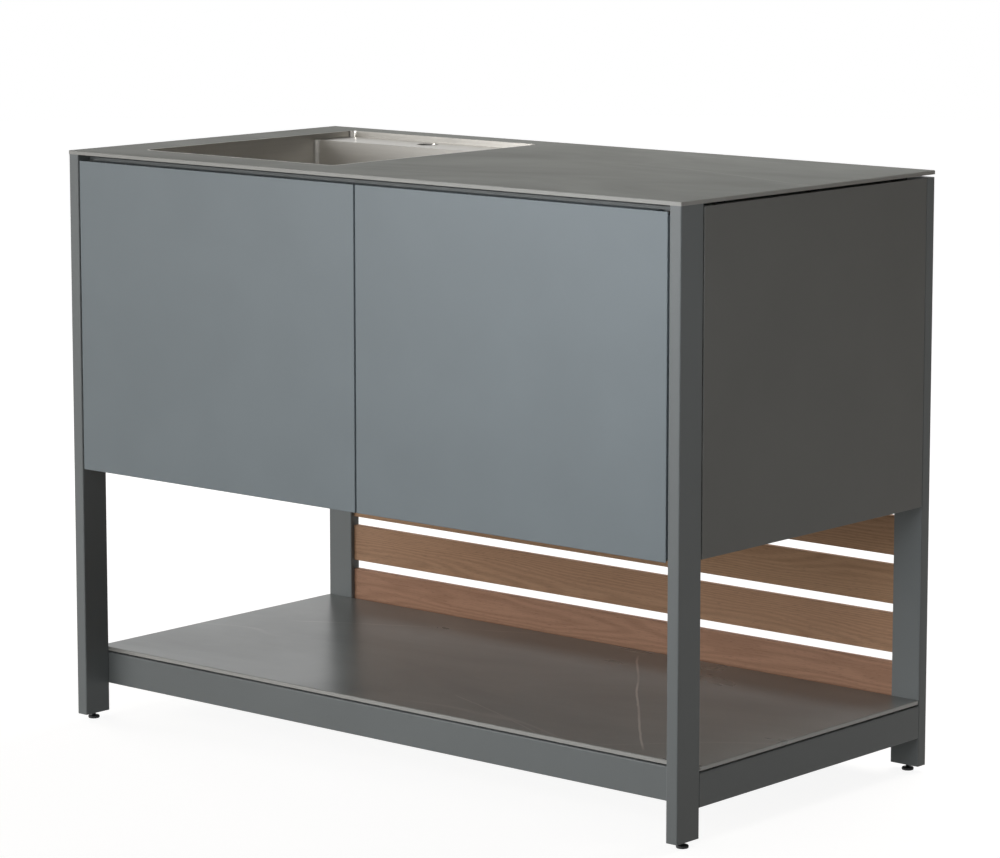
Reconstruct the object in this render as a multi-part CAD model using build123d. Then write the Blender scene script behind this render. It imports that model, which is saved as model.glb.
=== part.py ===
from build123d import *
from math import sqrt
import os

# Free-standing kitchen sink unit: a ring frame of flat steel tube under a thin stone worktop with an
# inset steel sink, a two-door cabinet below it, an open stone shelf near the floor and a slatted back.
# Millimetres. The origin is on the floor under the middle of the unit, +X to its right seen from the
# front, +Y to its back and +Z up. The doors are at the front, -Y.

# Overall size
width = 1200
depth = 600
height = 900

# Stone worktop and shelf
stone = 6
stone_arris = 0.8
shelf_corner = 3

# Steel tube of the frame
tube_wide = 50
tube_thin = 20
tube_wall = 1.5
tube_corner = 2
cabinet_rail_high = 30
cross_rail_count = 2
leg_cap = 2

# Heights over the floor
leg_end = 10
base_under = 53
cabinet_under = 403

# Pads that the stone lies on
worktop_pad = 4
shelf_pad = 2.5
pad_long = 24
pad_wide = 12

# Levelling feet and the plugs that hold them in the legs
foot_radius = 9
foot_disc = 5
foot_chamfer = 1
stem_radius = 3
stem_long = 40
plug_long = 18

# Panels and boards
side_sheet = 6
panel_joint = 2
panel_edge = 0.8
board = 16
back_sheet = 6
fit = 0.5

# Service opening in the cabinet's back, behind the sink
service_wide = 200
service_high = 120
service_up = 30

# Slatted back
slat_count = 10
slat_high = 59
slat_thick = 12
slat_first = 101
slat_edge = 1
dowel_radius = 3
dowel_in_slat = 20
dowel_in_leg = 8

# Doors: folded sheet trays that swing on pins in their outer corners
door_thick = 20
door_set = 5
door_gap = 3
door_top_gap = 9
door_sheet = 1.2
door_lip = 25
door_edge = 1
liner_sheet = 2
pivot_in = 10
swing_clear = 0.8
rest_gap = 0.3

# Door pivots
pin_radius = 2.5
pin_long = 21
pin_clear = 0.05
tab_thick = 3
tab_half = 4
tab_rise = 1
notch_high = 5
notch_wide = 24
bush_wide = 19
bush_high = 25

# Push latches on the divider, and the buffers that stop the doors
latch_wide = 20
latch_high = 20
latch_long = 60
latch_drop = 4
latch_back = 3
plunger_radius = 4
plunger_in = 40
plunger_travel = 3
buffer_radius = 4
buffer_in = 40

# Sink
sink_left_strip = 84
sink_front_strip = 80
sink_back_strip = 50
sink_wide = 400
sink_sheet = 2
sink_corner = 10
sink_joint = 0.5
bowl_deep = 200
bowl_base = 8
bowl_border = 12
bowl_fall = 3
drain_flat = 58
ledge_drop = 9
ledge_long = 84
flange_wide = 20
flange_sheet = 1.5
tap_hole_radius = 17.5
tap_from_bowl = 50
clip_wide = 20
clip_under = 12
clip_sheet = 1.5

# Sink waste with its lift-out strainer
waste_from_back = 110
waste_radius = 44.5
waste_fit = 0.5
waste_wall = 2.5
waste_flange = 55
waste_flange_sheet = 1.5
waste_deep = 45
seat_deep = 8
seat_wide = 4
tail_radius = 23.9
tail_bore = 20
tail_long = 30
gasket = 3
nut_high = 8
nut_wide = 11
nut_lugs = 8
strainer_gap = 1.5
strainer_deep = 30
strainer_sheet = 1.2
strainer_holes = 8
strainer_hole_radius = 2.5
knob_radius = 5

# Screws
screw_radius = 2
screw_head_radius = 4
screw_head = 2.5
screw_in_panel = 4
screw_in_board = 12
screw_from_end = 100

# Outer faces and the levels worked out from them
left, right = -width / 2, width / 2
front, back = -depth / 2, depth / 2
slab_under = height - stone
frame_top = slab_under - worktop_pad
top_rail_under = frame_top - tube_wide
base_top = base_under + tube_wide
floor_under = cabinet_under + cabinet_rail_high
floor_top = floor_under + board
front_leg_inside = right - tube_thin
front_leg_back = front + tube_wide
back_leg_inside = right - tube_wide
back_leg_front = back - tube_thin
rail_front = front + door_thick + door_set
rail_back = rail_front + tube_thin
panel_inside = right - side_sheet
side_rail_inside = panel_inside - tube_thin

# Sink faces
sink_left = left + sink_left_strip
sink_right = sink_left + sink_wide
sink_front = front + sink_front_strip
sink_back = back - sink_back_strip
sink_x = (sink_left + sink_right) / 2
ledge_top = height - ledge_drop
ledge_under = ledge_top - sink_sheet
bowl_back = sink_back - sink_sheet - ledge_long
bowl_floor = height - bowl_deep
flange_under = slab_under - flange_sheet
waste_y = bowl_back - waste_from_back
drain_level = bowl_floor - bowl_fall

# Door faces; the pivot stands just far enough back for the corner to swing past the leg
door_under = cabinet_under
door_top = slab_under - door_top_gap
door_outer = front_leg_inside - door_gap
door_inner = door_gap / 2
door_back = front + door_thick
pivot_x = door_outer - pivot_in
pivot_back = sqrt((pivot_in + door_gap - swing_clear) ** 2 - pivot_in ** 2)
pivot_y = front + pivot_back


def block(x, y, z):
    """Plain box that fills the ranges x, y and z."""
    size = [high - low for low, high in (x, y, z)]
    centre = [(high + low) / 2 for low, high in (x, y, z)]
    return Pos(*centre) * Box(*size)


def rounded_block(x, y, z, radius):
    """Box with upright edges rounded, filling the ranges x, y and z."""
    outline = Pos((x[0] + x[1]) / 2, (y[0] + y[1]) / 2, z[0]) * RectangleRounded(x[1] - x[0], y[1] - y[0], radius)
    return extrude(outline, z[1] - z[0])


def tube(x, y, z, along):
    """Rectangular hollow section that fills the ranges x, y and z, open at its two ends."""
    size = [high - low for low, high in (x, y, z)]
    centre = [(high + low) / 2 for low, high in (x, y, z)]
    turn, wide, deep, long = {
        "x": (Rot(0, 90, 0), size[2], size[1], size[0]),
        "y": (Rot(-90, 0, 0), size[0], size[2], size[1]),
        "z": (Rot(0, 0, 0), size[0], size[1], size[2]),
    }[along]
    hollow = Rectangle(wide - 2 * tube_wall, deep - 2 * tube_wall)
    section = RectangleRounded(wide, deep, tube_corner) - hollow
    return Pos(*centre) * turn * Pos(0, 0, -long / 2) * extrude(section, long)


def rod(start, along, radius, long):
    """Round bar from a point, running along x, y or z."""
    turn = {"x": Rot(0, 90, 0), "y": Rot(-90, 0, 0), "z": Rot(0, 0, 0)}[along]
    return Pos(*start) * turn * Pos(0, 0, long / 2) * Cylinder(radius, long)


def to_left(shape):
    """The same piece for the other side of the unit."""
    return mirror(shape, about=Plane.YZ)


def spread(low, high, count):
    """Evenly spaced places from low to high."""
    return [low + (high - low) * step / (count - 1) for step in range(count)]


# --- Frame ------------------------------------------------------------------------------------------

def front_leg():
    """Right front leg, its narrow face to the front, up to the stone."""
    return tube((front_leg_inside, right), (front, front_leg_back), (leg_end, slab_under), "z")


def back_leg():
    """Right back leg, its wide face to the front, capped at the top and drilled for the slat dowels."""
    leg = tube((back_leg_inside, right), (back_leg_front, back), (leg_end, frame_top), "z")
    hollow_x = (back_leg_inside + tube_wall, right - tube_wall)
    hollow_y = (back_leg_front + tube_wall, back - tube_wall)
    leg += block(hollow_x, hollow_y, (frame_top - leg_cap, frame_top))
    for z in slat_levels():
        leg -= rod((back_leg_inside - tube_wall, slat_y(), z + slat_high / 2), "x", dowel_radius, 3 * tube_wall)
    return leg


def leg_centres():
    """Middle of each leg, by its name."""
    front_x = right - tube_thin / 2
    front_y = front + tube_wide / 2
    back_x = right - tube_wide / 2
    back_y = back - tube_thin / 2
    return {"front_left": (-front_x, front_y), "front_right": (front_x, front_y),
            "back_left": (-back_x, back_y), "back_right": (back_x, back_y)}


def leg_end_plugs():
    """Threaded plastic plugs pressed into the leg ends."""
    plugs = []
    for name, (x, y) in leg_centres().items():
        wide, deep = (tube_thin, tube_wide) if name.startswith("front") else (tube_wide, tube_thin)
        half_x = wide / 2 - tube_wall
        half_y = deep / 2 - tube_wall
        plug = block((x - half_x, x + half_x), (y - half_y, y + half_y), (leg_end, leg_end + plug_long))
        plugs.append(plug - rod((x, y, leg_end - 1), "z", stem_radius + pin_clear, plug_long + 2))
    return plugs


def foot(x, y):
    """Levelling foot: a round disc on a threaded stem."""
    disc = chamfer(rod((x, y, 0), "z", foot_radius, foot_disc).edges(), foot_chamfer)
    return disc + rod((x, y, foot_disc), "z", stem_radius, stem_long)


def base_rails():
    """Ring that carries the shelf; its front rail stands behind the front legs."""
    level = (base_under, base_top)
    side = tube((front_leg_inside, right), (front_leg_back, back_leg_front), level, "y")
    across = (-front_leg_inside, front_leg_inside)
    return {
        "base_rail_front": tube(across, (front_leg_back, front_leg_back + tube_thin), level, "x"),
        "base_rail_back": tube(across, (back_leg_front - tube_thin, back_leg_front), level, "x"),
        "base_rail_left": to_left(side),
        "base_rail_right": side,
    }


def cabinet_rails():
    """Ring under the cabinet's floor, set in behind the side panels and the doors."""
    level = (cabinet_under, floor_under)
    side = tube((side_rail_inside, panel_inside), (front_leg_back, back_leg_front), level, "y")
    for y in screw_places():
        side -= panel_screw_hole(y, cabinet_under + cabinet_rail_high / 2)
        side -= floor_screw_hole(y)
    front_span = (-front_leg_inside, front_leg_inside)
    back_span = (-side_rail_inside, side_rail_inside)
    return {
        "cabinet_rail_front": tube(front_span, (rail_front, rail_back), level, "x"),
        "cabinet_rail_back": tube(back_span, (back_leg_front - tube_thin, back_leg_front), level, "x"),
        "cabinet_rail_left": to_left(side),
        "cabinet_rail_right": side,
    }


def top_rails():
    """Ring that carries the worktop."""
    level = (top_rail_under, frame_top)
    side = tube((side_rail_inside, panel_inside), (front_leg_back, back_leg_front), level, "y")
    for y in screw_places():
        side -= panel_screw_hole(y, frame_top - tube_wide / 2)
    front_span = (-front_leg_inside, front_leg_inside)
    back_span = (-back_leg_inside, back_leg_inside)
    return {
        "top_rail_front": tube(front_span, (rail_front, rail_back), level, "x"),
        "top_rail_back": tube(back_span, (back_leg_front, back), level, "x"),
        "top_rail_left": to_left(side),
        "top_rail_right": side,
    }


def cross_rail_centres():
    """Over the divider, then evenly over the cabinet to its right."""
    step = side_rail_inside / cross_rail_count
    return [step * count for count in range(cross_rail_count)]


def cross_rails():
    """Rails from front to back under the stone; the first stands on the divider."""
    span = (rail_back, back_leg_front)
    level = (top_rail_under, frame_top)
    return [tube((x - tube_thin / 2, x + tube_thin / 2), span, level, "y") for x in cross_rail_centres()]


# --- Stone ------------------------------------------------------------------------------------------

def worktop():
    """Stone slab with the opening for the sink."""
    slab = block((left, right), (front, back), (slab_under, height))
    slab = chamfer(slab.faces().sort_by(Axis.Z)[-1].edges(), stone_arris)
    opening = rounded_block(
        (sink_left - sink_joint, sink_right + sink_joint),
        (sink_front - sink_joint, sink_back + sink_joint),
        (slab_under - 1, height + 1),
        sink_corner + sink_sheet + sink_joint,
    )
    return slab - opening


def shelf():
    """Stone slab on the base ring, between the front and the back legs."""
    under = base_top + shelf_pad
    span = (front_leg_back + fit, back_leg_front - fit)
    slab = rounded_block((left, right), span, (under, under + stone), shelf_corner)
    return chamfer(slab.faces().sort_by(Axis.Z)[-1].edges(), stone_arris)


def pad(x, y, under, high, along):
    """Soft pad lying on a rail."""
    half_x, half_y = (pad_long / 2, pad_wide / 2) if along == "x" else (pad_wide / 2, pad_long / 2)
    return block((x - half_x, x + half_x), (y - half_y, y + half_y), (under, under + high))


def support_pads():
    """Pads between the rails and the two slabs."""
    pads = []
    front_y = rail_front + tube_thin / 2
    back_y = back - tube_thin / 2
    side_x = side_rail_inside + tube_thin / 2
    inset = 2 * pad_long
    for x in spread(-front_leg_inside + inset, front_leg_inside - inset, 5):
        pads.append(pad(x, front_y, frame_top, worktop_pad, "x"))
    for x in spread(-back_leg_inside + inset, back_leg_inside - inset, 5):
        pads.append(pad(x, back_y, frame_top, worktop_pad, "x"))
    for y in spread(front_leg_back + inset, back_leg_front - inset, 3):
        for x in [-side_x, side_x] + cross_rail_centres():
            pads.append(pad(x, y, frame_top, worktop_pad, "y"))
    base_x = right - tube_thin / 2
    for y in spread(front_leg_back + inset, back_leg_front - inset, 3):
        for x in (-base_x, base_x):
            pads.append(pad(x, y, base_top, shelf_pad, "y"))
    for x in spread(-front_leg_inside + inset, front_leg_inside - inset, 4):
        for y in (front_leg_back + tube_thin / 2, back_leg_front - tube_thin / 2):
            pads.append(pad(x, y, base_top, shelf_pad, "x"))
    return pads


# --- Cabinet ----------------------------------------------------------------------------------------

def side_panel():
    """Right side panel, flush with the legs' outer faces."""
    span = (front_leg_back + panel_joint, back_leg_front - fit)
    sheet = block((panel_inside, right), span, (cabinet_under, frame_top))
    sheet = fillet(sheet.faces().sort_by(Axis.X)[-1].edges(), panel_edge)
    for level in (cabinet_under + cabinet_rail_high / 2, frame_top - tube_wide / 2):
        for y in screw_places():
            sheet -= rod((panel_inside - 1, y, level), "x", screw_radius, screw_in_panel + 1)
    return sheet


def cabinet_floor():
    """Board on the cabinet ring, notched round the front legs."""
    edge = panel_inside - fit
    shape = block((-edge, edge), (rail_front, back_leg_front), (floor_under, floor_top))
    notch = block((front_leg_inside - fit, right), (front, front_leg_back + fit), (floor_under - 1, floor_top + 1))
    shape -= notch
    shape -= to_left(notch)
    for y in screw_places():
        hole = rod((side_rail_inside + tube_thin / 2, y, floor_under - 1), "z", screw_radius, screw_in_board + 1)
        shape -= hole
        shape -= to_left(hole)
    return shape


def divider():
    """Upright board between the two compartments, flush with the rails' front face."""
    return block((-board / 2, board / 2), (rail_front, back_leg_front - back_sheet), (floor_top, top_rail_under))


def cabinet_back():
    """Sheet in front of the slats, with an opening for the pipes behind the sink."""
    edge = panel_inside - fit
    span = (back_leg_front - back_sheet, back_leg_front)
    sheet = block((-edge, edge), span, (floor_top, top_rail_under))
    under = floor_top + service_up
    cut_x = (sink_x - service_wide / 2, sink_x + service_wide / 2)
    return sheet - block(cut_x, (span[0] - 1, span[1] + 1), (under, under + service_high))


def slat_levels():
    """Underside of each slat; the gaps are all the same, also the last one under the top rail."""
    pitch = (top_rail_under - slat_first) / slat_count
    return [slat_first + pitch * step for step in range(slat_count)]


def slat_y():
    """Middle of the slats' thickness; they are flush with the legs at the back."""
    return back - slat_thick / 2


def slat(level):
    """One board of the back, with a dowel hole in each end."""
    shape = block((-back_leg_inside, back_leg_inside), (back - slat_thick, back), (level, level + slat_high))
    shape = fillet(shape.edges().filter_by(Axis.X), slat_edge)
    hole = rod((back_leg_inside - dowel_in_slat, slat_y(), level + slat_high / 2), "x", dowel_radius, dowel_in_slat + 1)
    return shape - hole - to_left(hole)


def slat_dowels():
    """Steel dowels from the back legs into the ends of the slats."""
    dowels = []
    for level in slat_levels():
        start = (back_leg_inside - dowel_in_slat, slat_y(), level + slat_high / 2)
        dowel = rod(start, "x", dowel_radius, dowel_in_slat + dowel_in_leg)
        dowels += [dowel, to_left(dowel)]
    return dowels


# --- Screws -----------------------------------------------------------------------------------------

def screw_places():
    """Where the screws stand along a side rail."""
    return [front_leg_back + screw_from_end, back_leg_front - screw_from_end]


def panel_screw_hole(y, z):
    """Hole across a right side rail for a screw that holds the side panel."""
    return rod((side_rail_inside - 1, y, z), "x", screw_radius, tube_thin + 2)


def floor_screw_hole(y):
    """Hole up through the right cabinet rail for a screw that holds the floor."""
    return rod((side_rail_inside + tube_thin / 2, y, cabinet_under - 1), "z", screw_radius, cabinet_rail_high + 2)


def panel_screws():
    """Screws from inside the cabinet into the side panels, and from below into its floor."""
    screws = []
    for y in screw_places():
        for z in (cabinet_under + cabinet_rail_high / 2, frame_top - tube_wide / 2):
            head = rod((side_rail_inside - screw_head, y, z), "x", screw_head_radius, screw_head)
            shank = rod((side_rail_inside, y, z), "x", screw_radius, tube_thin + screw_in_panel)
            screws.append(head + shank)
        x = side_rail_inside + tube_thin / 2
        head = rod((x, y, cabinet_under - screw_head), "z", screw_head_radius, screw_head)
        shank = rod((x, y, cabinet_under), "z", screw_radius, cabinet_rail_high + screw_in_board)
        screws.append(head + shank)
    return screws + [to_left(screw) for screw in screws]


# --- Doors ------------------------------------------------------------------------------------------

def notch_levels():
    """The two notches that clear the pivot tabs, each cut a little past the door's edge."""
    return [(door_under - 1, door_under + notch_high), (door_top - notch_high, door_top + 1)]


def door_skin():
    """Right door's folded tray: front, four edges and the lips turned in at the back."""
    x = (door_inner, door_outer)
    z = (door_under, door_top)
    tray = block(x, (front, door_back), z)
    tray = fillet(tray.faces().sort_by(Axis.Y)[0].edges(), door_edge)
    inside_x = (x[0] + door_sheet, x[1] - door_sheet)
    inside_z = (z[0] + door_sheet, z[1] - door_sheet)
    tray -= block(inside_x, (front + door_sheet, door_back - door_sheet), inside_z)
    mouth_x = (x[0] + door_lip, x[1] - door_lip)
    mouth_z = (z[0] + door_lip, z[1] - door_lip)
    tray -= block(mouth_x, (front + door_sheet, door_back + 1), mouth_z)
    notch_x = (door_outer - notch_wide, door_outer + 1)
    for level in notch_levels():
        tray -= block(notch_x, (front + door_sheet, door_back + 1), level)
    return tray


def door_liner():
    """Flat sheet behind the lips that closes the right door's back."""
    x = (door_inner + door_sheet, door_outer - door_sheet)
    y = (door_back - door_sheet - liner_sheet, door_back - door_sheet)
    low, high = notch_levels()
    return block(x, y, (low[1], high[0]))


def pivot_tab_levels():
    """Underside of the lower and of the upper pivot tab of a door."""
    return [door_under + tab_rise, door_top - tab_rise - tab_thick]


def bush_levels():
    """Underside of the lower and of the upper bush, each a running gap away from its tab."""
    low, high = pivot_tab_levels()
    return [low + tab_thick + rest_gap, high - rest_gap - bush_high]


def door_bushes():
    """Plastic blocks in the right door's outer corners that turn on the pins."""
    x = (door_outer - door_sheet - bush_wide, door_outer - door_sheet)
    y = (front + door_sheet, door_back - door_sheet - liner_sheet)
    bushes = []
    for level in bush_levels():
        hole = rod((pivot_x, pivot_y, level - 1), "z", pin_radius + pin_clear, bush_high + 2)
        bushes.append(block(x, y, (level, level + bush_high)) - hole)
    return bushes


def door_pivots():
    """Tabs on the front rails, each with a pin pressed into it that points into a door."""
    low, high = pivot_tab_levels()
    pieces = []
    for under, pin_start in ((low, low), (high, high + tab_thick - pin_long)):
        tab = block((pivot_x - tab_half, pivot_x + tab_half), (pivot_y, rail_front), (under, under + tab_thick))
        tab += rod((pivot_x, pivot_y, under), "z", tab_half, tab_thick)
        tab -= rod((pivot_x, pivot_y, under - 1), "z", pin_radius, tab_thick + 2)
        pin = rod((pivot_x, pivot_y, pin_start), "z", pin_radius, pin_long)
        pieces += [tab, pin, to_left(tab), to_left(pin)]
    return pieces


def door_buffers():
    """Soft stops on the front rails near the doors' free corners."""
    thick = door_set - rest_gap
    stops = []
    for z in (door_under + door_lip / 2, door_top - door_lip / 2):
        stop = rod((buffer_in, rail_front - thick, z), "y", buffer_radius, thick)
        stops += [stop, to_left(stop)]
    return stops


# --- Push latches -----------------------------------------------------------------------------------

def latch_axis():
    """Where the right plunger's middle line runs: x and z."""
    return board / 2 + latch_wide / 2, top_rail_under - latch_drop - latch_high / 2


def latch_housings():
    """Plastic housings on both sides of the divider, each bored for its plunger."""
    x, z = latch_axis()
    start = rail_front + latch_back
    span_x = (x - latch_wide / 2, x + latch_wide / 2)
    housing = block(span_x, (start, start + latch_long), (z - latch_high / 2, z + latch_high / 2))
    housing = fillet(housing.faces().sort_by(Axis.Y)[0].edges().filter_by(Axis.X), 1)
    bore_long = plunger_in + plunger_travel + 2
    housing -= rod((x, start - 1, z), "y", plunger_radius + pin_clear, bore_long + 1)
    return [housing, to_left(housing)]


def latch_plunger():
    """Right plunger, its rounded tip just behind the closed door."""
    x, z = latch_axis()
    tip = door_back + rest_gap
    inner_end = rail_front + latch_back + plunger_in
    plunger = rod((x, tip, z), "y", plunger_radius, inner_end - tip)
    return chamfer(plunger.faces().sort_by(Axis.Y)[0].edges(), plunger_radius / 4)


# --- Sink -------------------------------------------------------------------------------------------

def drain_fall(top):
    """Shallow hopper under a level, from the edges of the bowl's floor down to the flat round the waste."""
    long = bowl_back - sink_front - sink_sheet
    edge = Rectangle(sink_wide - 2 * (sink_sheet + bowl_border), long - 2 * bowl_border)
    edge = Pos(sink_x, bowl_back - long / 2, top) * edge
    flat = Pos(sink_x, waste_y, top - bowl_fall) * Rectangle(2 * drain_flat, 2 * drain_flat)
    return loft([edge, flat], ruled=True)


def bowl_hollow():
    """The space inside the bowl, up to the worktop."""
    space = rounded_block(
        (sink_left + sink_sheet, sink_right - sink_sheet),
        (sink_front + sink_sheet, bowl_back),
        (bowl_floor, height + 1),
        sink_corner,
    )
    space = fillet(space.faces().sort_by(Axis.Z)[0].edges(), bowl_base)
    return space + drain_fall(bowl_floor)


def rim_hollow(under, top):
    """The space inside the sink's rim, bowl and tap ledge together."""
    return rounded_block(
        (sink_left + sink_sheet, sink_right - sink_sheet),
        (sink_front + sink_sheet, sink_back - sink_sheet),
        (under, top),
        sink_corner,
    )


def sink_bowl():
    """Pressed steel bowl, creased to its waste, with its rim flush in the stone and a flange under it."""
    outer_corner = sink_corner + sink_sheet
    bowl = rounded_block(
        (sink_left, sink_right),
        (sink_front, bowl_back + sink_sheet),
        (bowl_floor - sink_sheet, height),
        outer_corner,
    )
    bowl = fillet(bowl.faces().sort_by(Axis.Z)[0].edges(), bowl_base + sink_sheet)
    bowl += drain_fall(bowl_floor - sink_sheet)
    rim = rounded_block((sink_left, sink_right), (sink_front, sink_back), (ledge_under, height), outer_corner)
    flange = rounded_block(
        (sink_left - flange_wide, sink_right + flange_wide),
        (sink_front - flange_wide, sink_back + flange_wide),
        (flange_under, slab_under),
        outer_corner + flange_wide,
    )
    waste_hole = rod((sink_x, waste_y, drain_level - sink_sheet - 1), "z", waste_radius + waste_fit, sink_sheet + 2)
    return bowl + rim + flange - bowl_hollow() - rim_hollow(ledge_under, height + 1) - waste_hole


def tap_ledge():
    """Sunk ledge behind the bowl with the tap hole, cut to the bowl's back corners."""
    plate = rim_hollow(ledge_under, ledge_top)
    plate &= block((sink_left, sink_right), (bowl_back - sink_corner, sink_back), (ledge_under, ledge_top))
    plate -= bowl_hollow()
    return plate - rod((sink_x, bowl_back + tap_from_bowl, ledge_under - 1), "z", tap_hole_radius, sink_sheet + 2)


def sink_clip():
    """Stepped clip under the flange's edge, at the origin and pointing out along +X."""
    under = flange_under - clip_sheet
    grip = block((-clip_under, fit), (-clip_wide / 2, clip_wide / 2), (under, flange_under))
    heel = block((fit, clip_under), (-clip_wide / 2, clip_wide / 2), (under, slab_under))
    return grip + heel


def sink_clips():
    """Clips that hold the flange up against the stone."""
    middle_y = (sink_front + sink_back) / 2
    quarter = (sink_back - sink_front) / 4
    clips = []
    for y in (middle_y - quarter, middle_y + quarter):
        clips.append(Pos(sink_right + flange_wide, y, 0) * sink_clip())
        clips.append(Pos(sink_left - flange_wide, y, 0) * Rot(0, 0, 180) * sink_clip())
    clips.append(Pos(sink_x, sink_back + flange_wide, 0) * Rot(0, 0, 90) * sink_clip())
    clips.append(Pos(sink_x, sink_front - flange_wide, 0) * Rot(0, 0, -90) * sink_clip())
    return clips


def turned(points):
    """Ring turned about the waste's upright axis from (radius, height over the drain's flat) points."""
    outline = Polyline(*[(radius, 0, z) for radius, z in points], close=True)
    return Pos(sink_x, waste_y, drain_level) * revolve(make_face(outline), Axis.Z)


def waste_body():
    """Cup through the bowl's floor with a seat for the strainer and a threaded tail."""
    bore = waste_radius - waste_wall
    cup_floor = -waste_deep + waste_wall
    return turned([
        (bore, waste_flange_sheet), (bore, -seat_deep), (bore - seat_wide, -seat_deep),
        (bore - seat_wide, cup_floor), (tail_bore, cup_floor), (tail_bore, -waste_deep - tail_long),
        (tail_radius, -waste_deep - tail_long), (tail_radius, -waste_deep), (waste_radius, -waste_deep),
        (waste_radius, 0), (waste_flange, 0), (waste_flange, waste_flange_sheet / 2),
        (waste_flange - waste_flange_sheet, waste_flange_sheet),
    ])


def waste_gasket():
    """Soft ring under the bowl's floor."""
    top = -sink_sheet
    inner = waste_radius + pin_clear
    return turned([(inner, top - gasket), (waste_flange, top - gasket), (waste_flange, top), (inner, top)])


def waste_nut():
    """Lugged ring nut that pulls the waste down."""
    top = -sink_sheet - gasket
    inner = waste_radius + pin_clear
    outer = inner + nut_wide
    nut = turned([(inner, top - nut_high), (outer, top - nut_high), (outer, top), (inner, top)])
    lug = Pos(outer, 0, top - nut_high / 2) * Box(nut_wide / 2, nut_wide, nut_high)
    lugs = [Rot(0, 0, 360 * step / nut_lugs) * lug for step in range(nut_lugs)]
    return nut + [Pos(sink_x, waste_y, drain_level) * piece for piece in lugs]


def strainer_basket():
    """Lift-out basket: a drilled floor, and the rimmed wall and the knob that stand on it."""
    rim = waste_radius - waste_wall - waste_fit
    side = rim - seat_wide - strainer_gap
    top = -seat_deep + rest_gap + strainer_sheet
    under = top - strainer_deep
    floor = under + strainer_sheet
    plate = turned([(0, under), (side, under), (side, floor), (0, floor)])
    for ring, count in ((side * 0.72, strainer_holes), (side * 0.42, strainer_holes // 2)):
        for step in range(count):
            place = Rot(0, 0, 360 * step / count) * Pos(ring, 0, floor - strainer_sheet / 2)
            plate -= Pos(sink_x, waste_y, drain_level) * place * Cylinder(strainer_hole_radius, 2 * strainer_sheet)
    wall = turned([
        (side - strainer_sheet, floor), (side, floor), (side, top - strainer_sheet), (rim, top - strainer_sheet),
        (rim, top), (side - strainer_sheet, top),
    ])
    knob = turned([
        (0, floor), (knob_radius / 2, floor), (knob_radius / 2, top - knob_radius),
        (knob_radius, top - knob_radius / 2), (knob_radius, top), (0, top),
    ])
    return [plate, wall, knob]


# --- All pieces -------------------------------------------------------------------------------------

def pieces():
    """Every node of the unit by name, each one shape or a list of separate solids."""
    nodes = {"leg_front_left": to_left(front_leg()), "leg_front_right": front_leg()}
    nodes |= {"leg_back_left": to_left(back_leg()), "leg_back_right": back_leg()}
    nodes["leg_end_plugs"] = leg_end_plugs()
    for name, (x, y) in leg_centres().items():
        nodes[f"foot_{name}"] = foot(x, y)
    nodes |= base_rails()
    nodes |= cabinet_rails()
    nodes |= top_rails()
    nodes["cross_rails"] = cross_rails()
    nodes["worktop"] = worktop()
    nodes["shelf"] = shelf()
    nodes["support_pads"] = support_pads()
    nodes["side_panel_left"] = to_left(side_panel())
    nodes["side_panel_right"] = side_panel()
    nodes["cabinet_floor"] = cabinet_floor()
    nodes["divider"] = divider()
    nodes["cabinet_back"] = cabinet_back()
    for count, level in enumerate(slat_levels(), 1):
        nodes[f"slat_{count:02d}"] = slat(level)
    nodes["slat_dowels"] = slat_dowels()
    nodes["panel_screws"] = panel_screws()
    nodes["door_pivots"] = door_pivots()
    nodes["door_buffers"] = door_buffers()
    nodes["latch_housings"] = latch_housings()
    for side, turn in (("left", to_left), ("right", lambda shape: shape)):
        nodes[f"{side}_door_skin"] = turn(door_skin())
        nodes[f"{side}_door_liner"] = turn(door_liner())
        nodes[f"{side}_door_bushes"] = [turn(bush) for bush in door_bushes()]
        nodes[f"{side}_latch_plunger"] = turn(latch_plunger())
    nodes["sink_bowl"] = sink_bowl()
    nodes["tap_ledge"] = tap_ledge()
    nodes["sink_clips"] = sink_clips()
    nodes["waste_body"] = waste_body()
    nodes["waste_gasket"] = waste_gasket()
    nodes["waste_nut"] = waste_nut()
    nodes["strainer_basket"] = strainer_basket()
    return nodes


os.makedirs("parts", exist_ok=True)
for node, shape in pieces().items():
    solids = shape if isinstance(shape, list) else shape.solids()
    export_step(Compound(children=list(solids)), f"parts/{node}.step")
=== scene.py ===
"""Finishes and studio for a free-standing kitchen sink unit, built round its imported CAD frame.

The file is laid out as an add-on and run as a script. Lengths are in metres, and those of turned profiles in
millimetres.
"""

import math

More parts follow.
